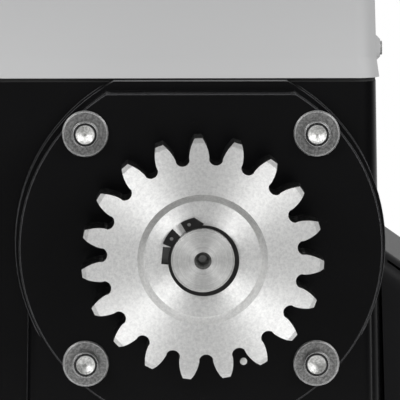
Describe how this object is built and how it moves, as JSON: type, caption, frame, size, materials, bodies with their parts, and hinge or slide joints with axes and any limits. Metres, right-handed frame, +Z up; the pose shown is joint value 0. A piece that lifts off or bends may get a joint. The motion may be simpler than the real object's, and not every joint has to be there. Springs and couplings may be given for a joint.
{
  "type": "sliding gate motor",
  "caption": "Geared motor for a sliding gate: black cast base with a rack pinion on a round flange, a grey lift-off cover, worm drive, clutch and key release.",
  "frame": {"origin": "underside of the base, at the centre of the four foot slots", "axes": "+Z up, -Y out of the pinion side towards the gate, +Y out of the release side, +X to the right when the pinion is faced"},
  "size_m": [0.238, 0.243, 0.285],
  "materials": {
    "black_casting": "black gloss paint on a casting",
    "cover_grey": "satin",
    "black_plastic": "satin",
    "gear_steel": "turned",
    "shaft_steel": "turned",
    "zinc_steel": "plated",
    "black_steel": "oxide",
    "chrome": "polished",
    "bronze": "cast",
    "cast_iron": "machined",
    "aluminium": "die cast",
    "laminations": "stacked sheet",
    "copper": "enamelled wire",
    "rubber": "matte",
    "board": "solder mask",
    "terminal_green": "satin",
    "white_plastic": "satin",
    "blue_plastic": "satin",
    "display_glass": "clear window",
    "fan_plastic": "satin"
  },
  "bodies": {
    "housing": {"housing": "black_casting", "output_flange": "black_casting", "flange_washers": "zinc_steel", "flange_screws": "zinc_steel", "flange_dowel": "chrome", "output_seal": "rubber", "output_bearing_rear": "chrome", "output_bearing_front": "chrome", "worm_bearing_lower": "chrome", "worm_bearing_upper": "chrome", "worm_bearing_top": "chrome", "stator_core": "laminations", "stator_windings": "copper", "motor_base": "aluminium", "motor_end_bell": "aluminium", "motor_screws": "zinc_steel", "cable_grommet": "rubber", "oil_plug": "bronze", "cover_gasket": "rubber", "release_bezel": "black_plastic", "board_bracket": "zinc_steel", "control_board": "board", "board_screws": "zinc_steel", "terminal_blocks": "terminal_green", "relays": "blue_plastic", "fuse_holder": "black_plastic", "display": "display_glass", "button_base": "black_plastic", "dial_base": "blue_plastic", "transformer_core": "laminations", "transformer_coil": "copper", "capacitor": "white_plastic", "capacitor_holder": "black_plastic", "limit_sensor": "black_plastic"},
    "output": {"output_shaft": "shaft_steel", "drive_key": "cast_iron", "pinion_spacer": "shaft_steel", "pinion": "gear_steel", "pinion_circlip": "black_steel", "output_bearing_rear_race": "chrome", "output_bearing_front_race": "chrome", "worm_wheel": "bronze", "wheel_hub": "cast_iron"},
    "clutch": {"clutch_sleeve": "shaft_steel", "clutch_pin": "shaft_steel", "release_rod": "shaft_steel", "clutch_spring": "shaft_steel"},
    "rotor": {"worm_shaft": "shaft_steel", "rotor_core": "laminations", "rotor_fan": "fan_plastic"},
    "release": {"release_knob": "black_plastic"},
    "pusher": {"release_pusher": "shaft_steel"},
    "lock": {"lock_cylinder": "chrome"},
    "key_flap": {"lock_cap": "black_plastic"},
    "cover": {"cover": "cover_grey", "cover_screws": "zinc_steel"},
    "side_cover_left": {"side_cover_left": "black_plastic"},
    "side_cover_right": {"side_cover_right": "black_plastic"},
    "learn_button": {"learn_button": "white_plastic"},
    "force_dial": {"force_dial": "white_plastic"}
  },
  "joints": [
    {"name": "output_spin", "type": "hinge", "parent": "housing", "child": "output", "pos_m": [0.0275, 0, 0.09], "axis": [0, 1, 0], "continuous": true},
    {"name": "motor_spin", "type": "hinge", "parent": "housing", "child": "rotor", "pos_m": [-0.0315, -0.02, 0.2], "axis": [0, 0, 1], "continuous": true},
    {"name": "release_turn", "type": "hinge", "parent": "housing", "child": "release", "pos_m": [0.0275, 0.09, 0.09], "axis": [0, -1, 0], "range_deg": [0, 90]},
    {"name": "clutch_slide", "type": "slide", "parent": "output", "child": "clutch", "axis": [0, -1, 0], "range_m": [0, 0.006], "deforming": ["clutch_spring"]},
    {"name": "pusher_slide", "type": "slide", "parent": "housing", "child": "pusher", "axis": [0, -1, 0], "range_m": [0, 0.006]},
    {"name": "lock_turn", "type": "hinge", "parent": "release", "child": "lock", "pos_m": [0.0275, 0.1, 0.09], "axis": [0, -1, 0], "range_deg": [0, 90]},
    {"name": "key_flap_swing", "type": "hinge", "parent": "release", "child": "key_flap", "pos_m": [0.0445, 0.104, 0.09], "axis": [0, 1, 0], "range_deg": [0, 115]},
    {"name": "cover_lift", "type": "slide", "parent": "housing", "child": "cover", "axis": [0, 0, 1], "range_m": [0, 0.15]},
    {"name": "side_cover_left_pull", "type": "slide", "parent": "housing", "child": "side_cover_left", "axis": [-1, 0, 0], "range_m": [0, 0.04]},
    {"name": "side_cover_right_pull", "type": "slide", "parent": "housing", "child": "side_cover_right", "axis": [1, 0, 0], "range_m": [0, 0.04]},
    {"name": "learn_button_press", "type": "slide", "parent": "housing", "child": "learn_button", "axis": [0, -1, 0], "range_m": [0, 0.0008], "stiffness_N_per_m": 800, "springref_m": -0.0005},
    {"name": "force_dial_turn", "type": "hinge", "parent": "housing", "child": "force_dial", "pos_m": [0.054, 0.056, 0.236], "axis": [0, 1, 0], "range_deg": [-135, 135]}
  ],
  "couplings": [
    {"joint": "motor_spin", "follows": "output_spin", "ratio": -30},
    {"joint": "clutch_slide", "follows": "release_turn", "m_per_rad": 0.0038},
    {"joint": "pusher_slide", "follows": "release_turn", "m_per_rad": 0.0038}
  ]
}
